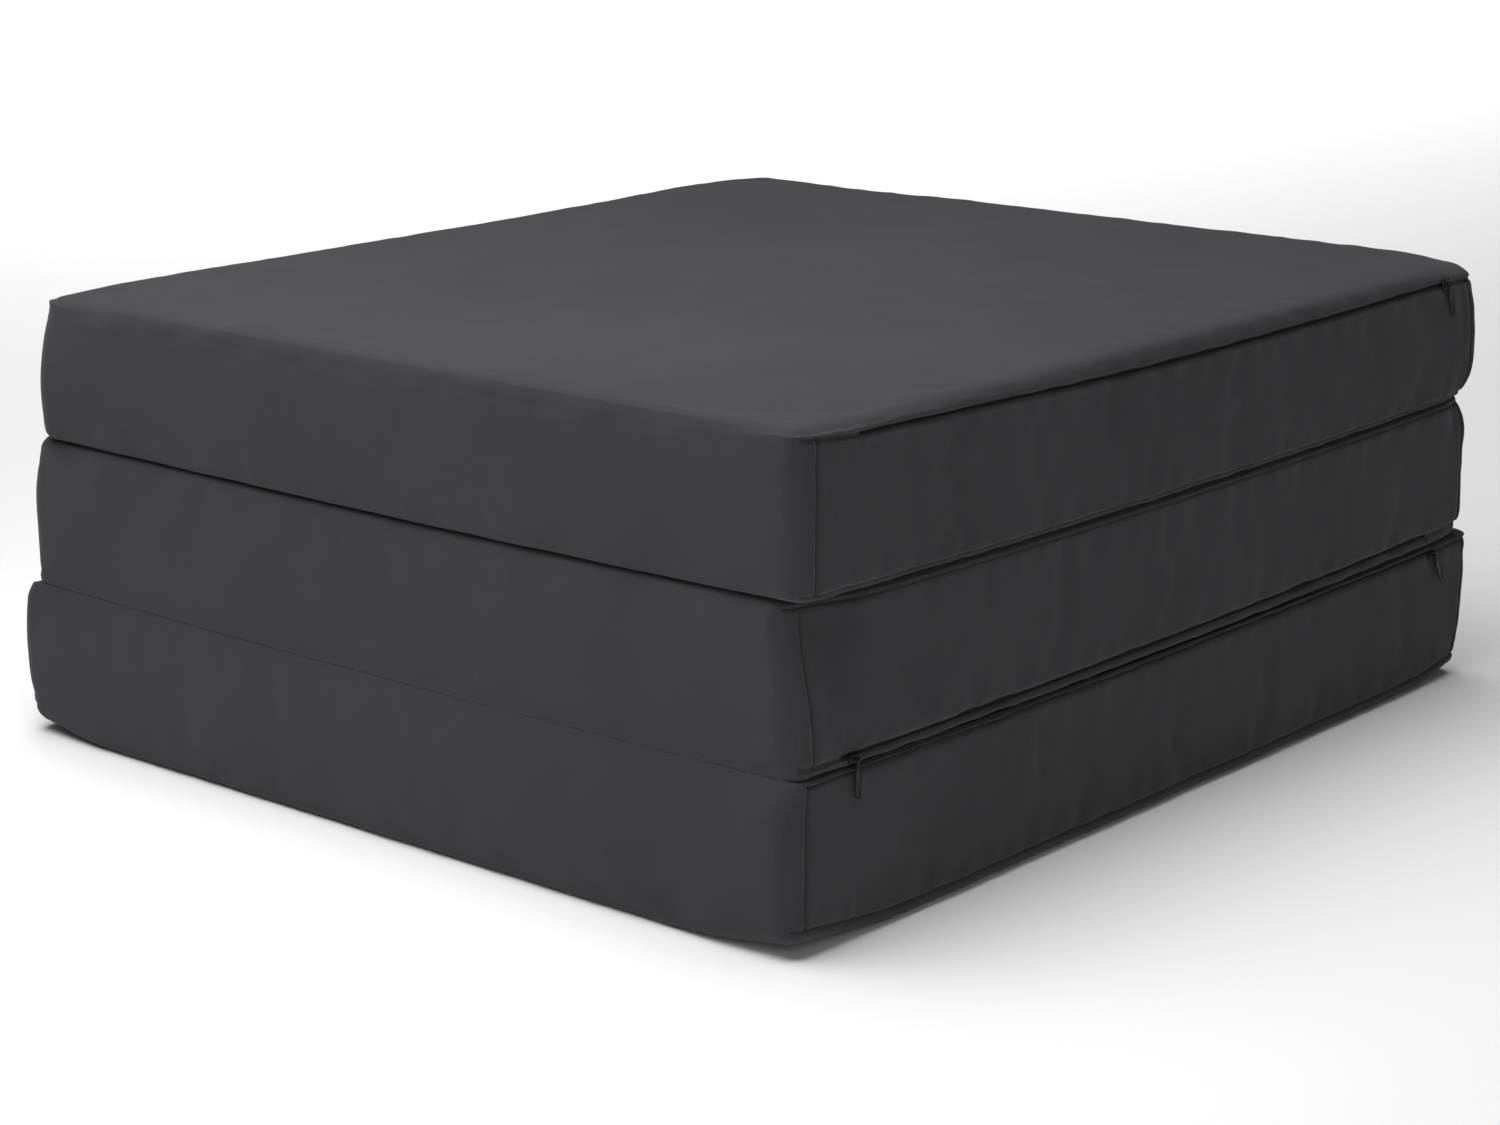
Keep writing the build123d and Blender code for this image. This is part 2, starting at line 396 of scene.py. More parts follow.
def drawn_in(block, sharp, points):
    """The sides drawn in towards the edges where the cover is held."""
    result = points.copy()
    for tucks, height in (
        (LOW_TUCKS, sharp[:, 2] - block.low[2]),
        (HIGH_TUCKS, block.high[2] - sharp[:, 2]),
    ):
        for side in SIDES:
            amount, reach = tuck_of(block, side, tucks[block.name][side])
            power = TUCK_POWER
            if reach == "waist":
                least, more = WAIST_REACH
                reach = least + more * (1 - (sharp[:, 1] / HALF_WIDTH) ** 2)
                power = WAIST_POWER
            profile = np.clip(1 - height / (reach * MM), 0, 1) ** power
            axis = 0 if side in ("left", "right") else 1
            if side in ("left", "front"):
                inside = sharp[:, axis] - block.low[axis]
                sign = 1
            else:
                inside = block.high[axis] - sharp[:, axis]
                sign = -1
            fade = np.clip(1 - inside / TUCK_DEPTH, 0, 1) ** 2
            result[:, axis] += sign * amount * MM * profile * fade
    return result


# Height of a crease over a straight line, in millimetres: the lower one, and more of it for the upper.
CREASE_MIDDLE, CREASE_MIDDLE_MORE = -1.6, -0.8
CREASE_ENDS, CREASE_ENDS_MORE = 0.8, 1.1  # added towards both ends
CREASE_CORNERS = 2.6  # added towards the corners


def crease_sag(points):
    """How far the creases between the blocks dip or rise, by place."""
    u = points[:, 0] / HALF_LENGTH
    v = points[:, 1] / HALF_WIDTH
    upper = np.clip((points[:, 2] - LEVELS[1]) / (LEVELS[2] - LEVELS[1]), 0, 1)
    middle = CREASE_MIDDLE + CREASE_MIDDLE_MORE * upper
    ends = CREASE_ENDS + CREASE_ENDS_MORE * upper + CREASE_CORNERS * v * v
    return (middle + ends * u * u) * MM


def sagged(points):
    """The stack with its creases dipped between the flat floor and the flat top."""
    share = np.interp(points[:, 2], LEVELS, (0, 1, 1, 0))
    result = points.copy()
    result[:, 2] += share * crease_sag(points)
    return result


# Places where the cover is pushed out of line: centre, reach and move, in millimetres.
PUSHES = {
    "bottom": [
        # hollow sides
        ((-340, -120, 40), (60, 220, 30), (-0.8, 0, 0)),
        ((0, -300, 42), (260, 40, 26), (0, -1.2, 0)),
        # lifted corners
        ((-340, -300, 0), (36, 30, 30), (1.5, 2.0, 8.0)),
        ((343, -300, 0), (30, 30, 30), (-1.5, 1.5, 6.0)),
        ((-340, 312, 0), (30, 30, 30), (1.5, -1.5, 7.0)),
        ((343, 312, 0), (30, 30, 30), (-1.5, -1.5, 6.5)),
    ],
    "middle": [
        # dent at the near upper corner
        ((-334, -300, 180), (24, 26, 34), (0.5, 12.0, -0.5)),
        ((-308, -303, 158), (9, 14, 26), (0, 2.4, 0)),
        # hollow sides
        ((0, -300, 135), (260, 40, 26), (0, -1.2, 0)),
        ((-334, 60, 138), (40, 200, 30), (-1.0, 0, 0)),
        # puckers under the upper crease
        ((-334, 230, 171), (10, 14, 7), (-1.3, 0, 1.2)),
        ((-334, 195, 173), (10, 11, 6), (-1.2, 0, 1.0)),
        ((-334, 160, 172), (10, 12, 6), (-1.1, 0, 0.9)),
        ((-334, 120, 173), (10, 15, 6), (-0.8, 0, 0.5)),
        # corners drawn in at the creases
        ((-334, 302, 180), (16, 18, 14), (3.0, -5.0, 0)),
        ((336, -300, 182.5), (18, 18, 8), (-4.0, 4.0, 0)),
        ((334, -300, 92.5), (18, 18, 8), (-3.0, 3.0, 0)),
    ],
    "top": [
        # hollow sides
        ((0, -300, 223), (260, 40, 22), (0, -0.8, 0)),
        ((-334, 0, 226), (40, 220, 26), (-0.8, 0, 0)),
        # puckers under the top edge
        ((-334, 215, 263), (10, 12, 7), (-1.2, 0, 0.4)),
        ((-334, 180, 264), (10, 11, 6), (-0.9, 0, 0.4)),
        ((-334, 140, 263), (10, 16, 7), (-0.7, 0, 0.4)),
        # upright corners, drawn in at the edges and out between them
        ((-334, 287, 212), (30, 40, 22), (-2.2, 2.2, 0)),
        ((-334, 287, 271), (30, 40, 16), (3.5, -3.5, -1.5)),
        ((336, -300, 271), (24, 24, 14), (-3.0, 3.0, -3.5)),
        ((336, -300, 222), (30, 40, 22), (1.5, -1.5, 0)),
        ((336, -300, 182.5), (18, 18, 8), (-4.0, 4.0, 0)),
        # uneven top at the far corner
        ((270, 287, 271), (90, 60, 30), (0, 0, 3.0)),
        ((336, 215, 271), (60, 50, 30), (0, 0, -2.5)),
        ((336, 287, 271), (28, 28, 14), (-5.0, -2.0, -1.5)),
    ],
}


def pushed(block, points):
    """The points with the block's pushes added."""
    result = points.copy()
    for centre, reach, move in PUSHES[block.name]:
        away = (points - np.array(centre) * MM) / (np.array(reach) * MM)
        result += bell(np.linalg.norm(away, axis=1), 1)[:, None] * np.array(move) * MM
    return result


# Rise of each zipper line over its straight course, in millimetres.
ZIP_MIDDLE = {"bottom": 2.4, "middle": 1.6, "top": -1.8}  # halfway along
ZIP_SLOPE = {"bottom": -1.0, "middle": 1.2}  # added at the high end, and taken off at the low one
TOP_LOW_RISE, TOP_HIGH_RISE = 5.6, 4.0  # added at the ends of the top zipper's line
TOP_BEYOND_RISE = 2.6  # and added past the zipper at the low end,
TOP_BEYOND_START, TOP_BEYOND_LENGTH = 0.83, 0.13  # from this share of the half length on
ZIP_BEND_REACH = 24 * MM  # height of the rows that follow the line on its base side
ZIP_BEND_DEPTH = 60 * MM  # and how far in from the long sides they do


def zip_bend(block, u):
    """How far the zipper line rises over its straight course, by place along the length."""
    middle = ZIP_MIDDLE[block.name]
    if block.name != "top":
        return (middle + ZIP_SLOPE[block.name] * u) * MM
    beyond_zip = TOP_BEYOND_RISE * smooth((-u - TOP_BEYOND_START) / TOP_BEYOND_LENGTH)
    low_end = TOP_LOW_RISE * smooth(-u) + beyond_zip
    return (middle + np.where(u < 0, low_end, TOP_HIGH_RISE * u * u)) * MM


def bent_at_zip(block, sharp, points):
    """The rows next to the zipper line, moved to its course."""
    result = points.copy()
    room = min(block.high[2] - block.zip_z, block.zip_z - block.low[2])
    from_zip = np.abs(sharp[:, 2] - block.zip_z)
    share = np.where(
        (sharp[:, 2] > block.zip_z) == (block.up > 0),
        1 - smooth(from_zip / room),
        1 - smooth(from_zip / ZIP_BEND_REACH),
    )
    y = sharp[:, 1]
    from_long_side = np.minimum(y - block.low[1], block.high[1] - y)
    share *= 1 - smooth(from_long_side / ZIP_BEND_DEPTH)
    result[:, 2] += share * zip_bend(block, sharp[:, 0] / HALF_LENGTH)
    return result


def meeting_shift(block, sharp):
    """How far the edge at a fold moves up or down to touch the other block's edge."""
    shift = np.zeros(len(sharp))
    for fold in FOLDS.values():
        if block.name in fold["blocks"]:
            face = block.low[0] if fold["out"] < 0 else block.high[0]
            level = block.low[2] if abs(block.low[2] - fold["z"]) < MM else block.high[2]
            on_edge = np.abs(sharp[:, 0] - face) < TOUCH
            on_edge &= np.abs(sharp[:, 2] - level) < TOUCH
            shift[on_edge] = fold["z"] + HALF_GAP - level
    return shift


def block_form(block, sharp):
    """The block's outer form before the fabric's own detail."""
    points = rounded(block, sharp)
    points = drawn_in(block, sharp, points)
    points = bent_at_zip(block, sharp, points)
    points[:, 2] += meeting_shift(block, sharp)
    points = sagged(points)
    return pushed(block, points)


# --- the fabric's own detail ------------------------------------------------------------------
# Depth and spread of the bell-shaped groove at each seam, in millimetres.
ZIP_GROOVE = (1.5, 0.7)
ZIP_GROOVE_MORE = 0.4  # deeper and wider where the zipper is
BASE_GROOVE = (1.2, 0.8)
UPRIGHT_GROOVE = (2.0, 0.7)
ZIP_END_FADE = 3 * MM
SWELL, SWELL_AWAY, SWELL_WIDTH = 0.35 * MM, 5 * MM, 3 * MM  # of the fabric beside a seam
PUCKER, PUCKER_LENGTH, PUCKER_REACH = 0.45 * MM, 15 * MM, 11 * MM  # height, wave and fading
LUMP, SIDE_LUMP_MORE, LUMP_LENGTH = 0.25, 0.25, 75 * MM  # the two heights in millimetres
SIDE_FADE = 4 * MM  # from a cap to where the upright side's lumps are whole
RIPPLE, RIPPLE_LENGTH = 0.10 * MM, 26 * MM
PUCKER_SEED, LUMP_SEED, RIPPLE_SEED = 11, 23, 31
FADE_START, FADE_LENGTH = 3 * MM, 9 * MM  # distances from a fold over which the detail fades in
NOWHERE_NEAR = 1.0  # metres


def seam_distances(block, sharp):
    """Distance of each point from the zipper line and from the other seams, on the long sides."""
    x, y, z = sharp.T
    on_long_side = (y < block.low[1] + TOUCH) | (y > block.high[1] - TOUCH)
    far = np.full(len(sharp), NOWHERE_NEAR)
    from_zip = np.where(on_long_side, np.maximum(np.abs(z - block.zip_z) - SLIT_HALF, 0), far)
    from_base = np.where(on_long_side, np.abs(z - block.base_z), far)
    seams = (block.low[0] + CORNER, block.high[0] - CORNER)
    from_upright = np.min([np.abs(x - seam) for seam in seams], axis=0)
    band = sorted((block.zip_z, block.base_z))
    beyond = np.maximum(np.maximum(band[0] - z, z - band[1]), 0)
    from_upright = np.where(on_long_side, np.hypot(from_upright, beyond), far)
    return from_zip, from_base, from_upright


def detail(block, sharp, form):
    """How far each point moves along its normal: seams, puckers and soft unevenness."""
    from_zip, from_base, from_upright = seam_distances(block, sharp)
    x, y, z = sharp.T
    in_zip = smooth((x - block.zip_x[0]) / ZIP_END_FADE)
    in_zip *= smooth((block.zip_x[1] - x) / ZIP_END_FADE) * (y < 0)
    depth, width = (size + ZIP_GROOVE_MORE * in_zip for size in ZIP_GROOVE)
    move = -depth * MM * bell(from_zip, width * MM)
    for (depth, width), distance in ((BASE_GROOVE, from_base), (UPRIGHT_GROOVE, from_upright)):
        move -= depth * MM * bell(distance, width * MM)
    # fabric swells a little beside each seam
    nearest = np.minimum(np.minimum(from_zip, from_base), from_upright)
    move += SWELL * bell(nearest - SWELL_AWAY, SWELL_WIDTH)
    # small puckers across the seams, dying away from them
    puckers = waves(form, PUCKER_LENGTH, PUCKER_SEED) * np.exp(-nearest / PUCKER_REACH)
    move += PUCKER * puckers
    # soft lumps over the whole cover, stronger on the upright sides
    on_side = smooth(np.minimum(block.high[2] - z, z - block.low[2]) / SIDE_FADE)
    move += (LUMP + SIDE_LUMP_MORE * on_side) * MM * waves(form, LUMP_LENGTH, LUMP_SEED)
    move += RIPPLE * waves(form, RIPPLE_LENGTH, RIPPLE_SEED)
    return move * fold_fade(block, form)


def fold_fade(block, points):
    """0 along the block's fold lines and 1 a little over a centimetre from them."""
    nearest = np.full(len(points), NOWHERE_NEAR)
    for fold in FOLDS.values():
        if block.name in fold["blocks"]:
            away = np.hypot(points[:, 0] - fold["x"], points[:, 2] - fold["z"])
            nearest = np.minimum(nearest, away)
    return smooth((nearest - FADE_START) / FADE_LENGTH)


# --- cloth simulation -----------------------------------------------------------------------
CLOTH = {
    "quality": 4,
    "mass": 0.3,
    "tension_stiffness": 12,
    "compression_stiffness": 12,
    "shear_stiffness": 6,
    "bending_stiffness": 0.4,
    "use_pressure": True,
    "uniform_pressure_force": 1.2,
    "shrink_min": -0.004,  # a little more fabric than the foam needs
    "vertex_group_mass": "held",
}
CLOTH_FRAMES = 14
HELD_BY_SEAM = 2 * MM
PUFF_CAP = 0.9 * MM


def simulate(block, grid, points):
    """The cover blown up softly from inside, held along its seams and where blocks press on it.

    Returns how far each point moved, kept under a small cap.
    """
    mesh = bpy.data.meshes.new("cloth")
    mesh.from_pydata(points.tolist(), [], grid.quads.tolist())
    cloth = bpy.data.objects.new("cloth", mesh)
    bpy.context.scene.collection.objects.link(cloth)
    x, y, z = grid.points.T
    from_zip, from_base, from_upright = seam_distances(block, grid.points)
    edge = np.minimum(z - block.low[2], block.high[2] - z) < TOUCH
    free_top = (block.name == "top") & (z > block.high[2] - TOUCH)
    inside = np.minimum.reduce(
        [x - block.low[0], block.high[0] - x, y - block.low[1], block.high[1] - y]
    )
    free_top &= inside > CORNER
    from_seam = np.minimum.reduce([from_zip, from_base, from_upright])
    held = (edge & ~free_top) | (from_seam < HELD_BY_SEAM)
    group = cloth.vertex_groups.new(name="held")
    group.add(np.nonzero(held)[0].tolist(), 1.0, "REPLACE")
    modifier = cloth.modifiers.new("Cloth", "CLOTH")
    for key, value in CLOTH.items():
        setattr(modifier.settings, key, value)
    modifier.settings.effector_weights.gravity = 0
    modifier.collision_settings.use_collision = False
    for number in range(1, CLOTH_FRAMES + 1):
        bpy.context.scene.frame_set(number)
    evaluated = cloth.evaluated_get(bpy.context.evaluated_depsgraph_get())
    settled = np.empty(len(points) * 3)
    evaluated.data.vertices.foreach_get("co", settled)
    bpy.data.objects.remove(cloth)
    bpy.data.meshes.remove(mesh)
    bpy.context.scene.frame_set(1)
    move = settled.reshape(-1, 3) - points
    length = np.linalg.norm(move, axis=1, keepdims=True)
    return move * PUFF_CAP * np.tanh(length / PUFF_CAP) / np.maximum(length, NOT_ZERO)


# --- meshes -----------------------------------------------------------------------------------
def new_object(name, points, faces, normals=None, smooth_shading=True):
    """An object in the scene from points and faces."""
    mesh = bpy.data.meshes.new(name)
    mesh.from_pydata(points.tolist(), [], faces.tolist() if hasattr(faces, "tolist") else faces)
    mesh.polygons.foreach_set("use_smooth", [smooth_shading] * len(mesh.polygons))
    if normals is not None:
        mesh.normals_split_custom_set_from_vertices(normals.tolist())
    mesh.update()
    made = bpy.data.objects.new(name, mesh)
    bpy.context.scene.collection.objects.link(made)
    return made


def rim_edges(quads):
    """The edges that only one quad has, in that quad's own direction."""
    edges = np.concatenate([quads[:, [k, (k + 1) % 4]] for k in range(4)])
    size = int(quads.max()) + 1
    forward = edges[:, 0].astype(np.int64) * size + edges[:, 1]
    backward = edges[:, 1].astype(np.int64) * size + edges[:, 0]
    return edges[~np.isin(forward, backward)]


def sheet_object(name, points, quads, thickness):
    """A closed thin sheet whose outer face is the given quads."""
    used, index = np.unique(quads, return_inverse=True)
    quads = index.reshape(quads.shape)
    outer = points[used]
    normals = normals_of(outer, quads)
    inner = outer - normals * thickness
    count = len(outer)
    rim = rim_edges(quads)
    walls = np.column_stack((rim[:, 1], rim[:, 0], rim[:, 0] + count, rim[:, 1] + count))
    faces = np.concatenate((quads, quads[:, ::-1] + count, walls))
    return new_object(
        name,
        np.concatenate((outer, inner)),
        faces,
        np.concatenate((normals, -normals)),
    )


def panel_numbers(block, grid):
    """The cover panel that each quad of the grid belongs to."""
    x, y, z = grid.points[grid.quads].mean(axis=1).T
    zip_side = (z - block.zip_z) * block.up
    base_side = (block.base_z - z) * block.up
    panel = np.where(y < (block.low[1] + block.high[1]) / 2, ZIP_SIDE, REAR_SIDE)
    panel = np.where(x < block.low[0] + CORNER, LEFT_END, panel)
    panel = np.where(x > block.high[0] - CORNER, RIGHT_END, panel)
    on_end = (x < block.low[0] + TOUCH) | (x > block.high[0] - TOUCH)
    on_cap = (z < block.low[2] + TOUCH) | (z > block.high[2] - TOUCH)
    panel = np.where(~on_end & (zip_side > -SLIT_HALF), SLEEPING, panel)
    panel = np.where(~on_end & (base_side > 0), BASE, panel)
    sleeping_cap = on_cap & ((z > block.zip_z) == (block.up > 0))
    panel = np.where(sleeping_cap, SLEEPING, panel)
    panel = np.where(on_cap & ~sleeping_cap, BASE, panel)
    slit = (y < block.low[1] + TOUCH) & (np.abs(z - block.zip_z) < SLIT_HALF)
    slit &= (x > block.zip_x[0]) & (x < block.zip_x[1])
    return np.where(slit, NO_PANEL, panel)


# --- materials ----------------------------------------------------------------------------------
def new_material(name):
    """A material with its node tree and its shader."""
    material = bpy.data.materials.new(name)
    material.use_nodes = True
    tree = material.node_tree
    shader = tree.nodes["Principled BSDF"]
    return material, tree, shader


def node(tree, kind, inputs=None, **settings):
    """A node with its settings and its unlinked inputs set."""
    made = tree.nodes.new(kind)
    for key, value in settings.items():
        setattr(made, key, value)
    for key, value in (inputs or {}).items():
        made.inputs[key].default_value = value
    return made


def stretched(tree, scale):
    """Object coordinates, in metres, times a scale for each axis."""
    place = node(tree, "ShaderNodeTexCoord")
    mapping = node(tree, "ShaderNodeMapping", {"Scale": scale})
    tree.links.new(place.outputs["Object"], mapping.inputs["Vector"])
    return mapping.outputs["Vector"]


def noise(tree, scale, detail_level=2.0, roughness=0.5):
    """Noise with its own scale on each axis, in repeats per metre."""
    made = node(
        tree, "ShaderNodeTexNoise", {"Scale": 1.0, "Detail": detail_level, "Roughness": roughness}
    )
    tree.links.new(stretched(tree, scale), made.inputs["Vector"])
    return made.outputs["Fac"]


def combine(tree, operation, first, second):
    """A Math node on two sockets or numbers."""
    made = node(tree, "ShaderNodeMath", operation=operation)
    for slot, value in enumerate((first, second)):
        if isinstance(value, (int, float)):
            made.inputs[slot].default_value = value
        else:
            tree.links.new(value, made.inputs[slot])
    return made.outputs[0]


def coloured(tree, shader, value, dark, light, positions=(0, 1)):
    """The shader's colour, from dark to light by a value."""
    ramp = node(tree, "ShaderNodeValToRGB")
    for stop, position, colour in zip(ramp.color_ramp.elements, positions, (dark, light)):
        stop.position = position
        stop.color = (*colour, 1)
    tree.links.new(value, ramp.inputs["Fac"])
    tree.links.new(ramp.outputs["Color"], shader.inputs["Base Color"])


def bumped(tree, shader, height, strength, depth):
    """The shader's surface roughened by a height."""
    bump = node(tree, "ShaderNodeBump", {"Strength": strength, "Distance": depth})
    tree.links.new(height, bump.inputs["Height"])
    tree.links.new(bump.outputs["Normal"], shader.inputs["Normal"])


def set_shader(shader, **values):
    """The shader's plain numbers and colours, with spaces for the underscores in their names."""
    for name, value in values.items():
        shader.inputs[name.replace("_", " ")].default_value = value


def weave_height(tree, pitch):
    """Height of a plain weave: threads over and under on whichever two axes the face has."""
    place = node(tree, "ShaderNodeTexCoord")
    split = node(tree, "ShaderNodeSeparateXYZ")
    tree.links.new(place.outputs["Object"], split.inputs[0])
    threads = []
    for axis in range(3):
        angle = combine(tree, "MULTIPLY", split.outputs[axis], 2 * math.pi / pitch)
        threads.append(combine(tree, "SINE", angle, 0.0))
    pairs = [
        combine(tree, "MULTIPLY", threads[a], threads[b]) for a, b in ((0, 1), (1, 2), (2, 0))
    ]
    return combine(tree, "ADD", combine(tree, "ADD", pairs[0], pairs[1]), pairs[2])


FABRIC_DARK = (0.0275, 0.0262, 0.0284)
FABRIC_LIGHT = (0.0380, 0.0362, 0.0390)
FOAM_DARK = (0.62, 0.58, 0.44)
FOAM_LIGHT = (0.84, 0.81, 0.70)
WEAVE_PITCH = 0.9 * MM
FINE_GRAIN, SLUB_LENGTH, CLOUDS = 900, 14, 9  # repeats per metre


def cover_material():
    """Dark charcoal plain weave with faint slubs."""
    material, tree, shader = new_material("cover_fabric")
    slubs = [
        noise(tree, [SLUB_LENGTH if axis == along else FINE_GRAIN for axis in range(3)], 3.0, 0.6)
        for along in (1, 0, 2)
    ]
    cloud = noise(tree, (CLOUDS, CLOUDS, CLOUDS), 4.0, 0.6)
    slubs = combine(tree, "ADD", combine(tree, "ADD", slubs[0], slubs[1]), slubs[2])
    faint_slubs = combine(tree, "MULTIPLY", slubs, 0.2)
    tone = combine(tree, "ADD", faint_slubs, combine(tree, "MULTIPLY", cloud, 0.6))
    coloured(tree, shader, tone, FABRIC_DARK, FABRIC_LIGHT, (0.40, 0.80))
    weave = combine(tree, "MULTIPLY", weave_height(tree, WEAVE_PITCH), 0.25)
    bumped(tree, shader, combine(tree, "ADD", weave, slubs), 0.35, 0.12 * MM)
    set_shader(shader, Roughness=0.92, Specular_IOR_Level=0.25)
    set_shader(shader, Sheen_Weight=0.12, Sheen_Roughness=0.5, Sheen_Tint=(0.85, 0.84, 0.9, 1))
    return material


def foam_material():
    """Cream open-cell foam."""
    material, tree, shader = new_material("foam")
    cells = node(tree, "ShaderNodeTexVoronoi", {"Scale": 1.0, "Randomness": 1.0})
    tree.links.new(stretched(tree, [FINE_GRAIN] * 3), cells.inputs["Vector"])
    coloured(tree, shader, cells.outputs["Distance"], FOAM_DARK, FOAM_LIGHT)
    bumped(tree, shader, cells.outputs["Distance"], 0.5, 0.4 * MM)
    set_shader(shader, Roughness=0.95)
    return material


def dark_material(name, dark, light, scale, roughness):
    """A dark trim material whose colour and surface vary a little."""
    material, tree, shader = new_material(name)
    grain = noise(tree, scale, 3.0, 0.6)
    coloured(tree, shader, grain, dark, light, (0.3, 0.7))
    bumped(tree, shader, grain, 0.4, 0.05 * MM)
    set_shader(shader, Roughness=roughness, Specular_IOR_Level=0.2)
    return material


MATERIALS = {
    "cover_fabric": cover_material(),
    "foam": foam_material(),
    "zip_tape": dark_material(
        "zip_tape", (0.018, 0.018, 0.019), (0.034, 0.033, 0.035), (500, 2500, 2500), 0.9
    ),
    "zip_coil": dark_material(
        "zip_coil", (0.012, 0.012, 0.013), (0.022, 0.022, 0.023), (900, 900, 900), 0.42
    ),
    "zip_metal": dark_material(
        "zip_metal", (0.006, 0.006, 0.007), (0.012, 0.012, 0.013), (300, 300, 300), 0.45
    ),
}


def dress(obj, material_name, *nodes):
    """Gives a piece its material and slot, and puts it in the place of its CAD nodes."""
    obj.data.materials.append(MATERIALS[material_name])
    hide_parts(*nodes)
    return obj


def across_fold(fold, block):
    """The block's neighbour over a fold, and whether it lies above (1) or below (-1)."""
    other = next(name for name in fold["blocks"] if name != block.name)
    return other, 1 if BLOCKS[other].low[2] > block.low[2] else -1


def follow(obj, block, fold_name=None):
    """The piece rides on its block, or, where it touches a fold, is left where it stands on no block.
    """
    if fold_name is None:
        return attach(obj, block.body)
    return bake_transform(obj)


def fold_of(block, piece):
    """The fold that a cover piece crosses, or None."""
    for name, fold in FOLDS.items():
        if block.name in fold["blocks"]:
            other, towards = across_fold(fold, block)
            cap = "sleeping_side_sheet" if towards == block.up else "base_side_sheet"
            end = "left_end_panel" if fold["out"] < 0 else "right_end_panel"
            if piece in (cap, end):
                return name
    return None


def build_block(block):
    """The foam core and the six cover sheets of one block."""
    fine = Grid(grid_lines(block))
    coarse = Grid(grid_lines(block, fine=False))
    form = block_form(block, fine.points)
    core_points = block_form(block, coarse.points)
    puff = simulate(block, coarse, core_points)
    fade = fold_fade(block, core_points)[:, None]
    form += refine(coarse, fine, puff * fade)
    core_points += puff * fade
    move = detail(block, fine.points, form)
    outer = form + normals_of(form, fine.quads) * move[:, None]
    panels = panel_numbers(block, fine)
    for number, piece in enumerate(COVER):
        name = f"{block.name}_{piece}"
        sheet = sheet_object(f"{name}_cloth", outer, fine.quads[panels == number], SHEET)
        dress(sheet, "cover_fabric", name)
        follow(sheet, block, fold_of(block, piece))
    build_foam(block, coarse, core_points)


FOAM_INSET, FOAM_UNEVEN = 4, 0.3  # in from the cover, in millimetres
FOAM_WAVE = 30 * MM
FOAM_SEED = 5
GROOVE_DEPTH, GROOVE_HEIGHT = 10 * MM, 3.5 * MM  # of the groove behind the zipper
GROOVE_PAST_ZIP = 8 * MM


def build_foam(block, grid, points):
    """The foam core, a little smaller than the cover, with a groove behind the zipper."""
    x, y, z = grid.points.T
    by_zip = (y < block.low[1] + TOUCH) & (x > block.zip_x[0] - GROOVE_PAST_ZIP)
    by_zip &= x < block.zip_x[1] + GROOVE_PAST_ZIP
    inset = FOAM_INSET + FOAM_UNEVEN * waves(points, FOAM_WAVE, FOAM_SEED)
    core = points - normals_of(points, grid.quads) * inset[:, None] * MM
    groove = GROOVE_DEPTH * bell(np.abs(z - block.zip_z), GROOVE_HEIGHT)
    core[:, 1] += np.where(by_zip, groove, 0)
    foam = new_object(f"{block.name}_foam", core, grid.quads)
    dress(foam, "foam", f"{block.name}_foam_core")
    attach(foam, block.body)


# --- the zippers ------------------------------------------------------------------------------
TAPE_FRONT = 1.4 * MM  # the tape, in from the cover's face
TAPE_BACK = 11.6 * MM
TAPE_THICKNESS = 0.5 * MM
TAPE_OFFSET = 1.9 * MM  # from the zipper line to the tape
TAPE_STEPS = 90
COIL_PITCH = 1.5 * MM
COIL_WIRE = 0.33 * MM  # radius
COIL_TURN = 8  # points round one turn
WIRE_SIDES = 4
COIL_IN = 2.2 * MM  # middle of the coils, in from the cover's face
COIL_DEPTH = 0.65 * MM  # half sizes of a turn
COIL_HEIGHT = 0.8 * MM
COIL_OFFSET = 1.0 * MM
COIL_INSET = 3 * MM  # clear of the end stops
STOP_HALF = (1.2, 0.9, 1.8)  # half sizes of an end stop, in millimetres
STOP_INSET = 1.25 * MM  # its middle, in from the zipper's end
PLATE = (4.5, 0.8, 2.8)  # half sizes of the slider's plate, in millimetres
PLATE_WIDE, PLATE_NARROWING = 0.86, 0.14  # its height midway, and how much that changes to its ends
PLATE_DOME = 0.25  # how far its outer face bulges, in millimetres
SLIDER_NECK, SLIDER_NECK_IN = (2.0, 2.9, 0.25), 1.6  # half sizes and place behind the cover's face
SLIDER_WING, SLIDER_WING_IN = (4, 0.4, 1.6), 3.5
PLATE_GAP = 0.3 * MM
BAIL_HALF = 2.2 * MM
BAIL_WIRE = 0.5 * MM
BAIL_CORNER = 0.9 * MM
BAIL_CORNER_STEPS = 6
BAIL_SIDES = 10
BAIL_FOOT = 0.2 * MM  # how far its feet reach into the plate past its middle
EYE_INNER = 0.76 * MM
EYE_OUTER = 1.3 * MM
EYE_HALF = 1.3 * MM
TAB_WIDTH = 4.5 * MM
TAB_LENGTH = 21 * MM
TAB_NECK = 4 * MM
TAB_CORNER = 2 * MM
TAB_CORNER_STEPS = 7
TAB_FACE_IN, TAB_RIM_IN, TAB_EDGE_IN = 0.9 * MM, 0.7 * MM, 0.2 * MM  # in from the tab's outline
PULL_NECK = (0.9, 0.36, 1.9)  # half sizes of the neck between tab and eye, in millimetres
PULL_NECK_DOWN = 0.1 * MM
EYE_TURNS, EYE_SIDES = 24, 12
TAB_RIM = 0.4 * MM  # half thickness at the rim
TAB_MIDDLE = 0.24 * MM


def zip_course(block, x):
    """Points of the zipper line on the formed cover."""
    straight = np.array([(place, block.low[1], block.zip_z) for place in x])
    return block_form(block, straight)


def joined(parts):
    """One list of points and faces from several."""
    points, faces, count = [], [], 0
    for part_points, part_faces in parts:
        points.append(part_points)
        faces += [[number + count for number in face] for face in part_faces]
        count += len(part_points)
    return np.concatenate(points), faces


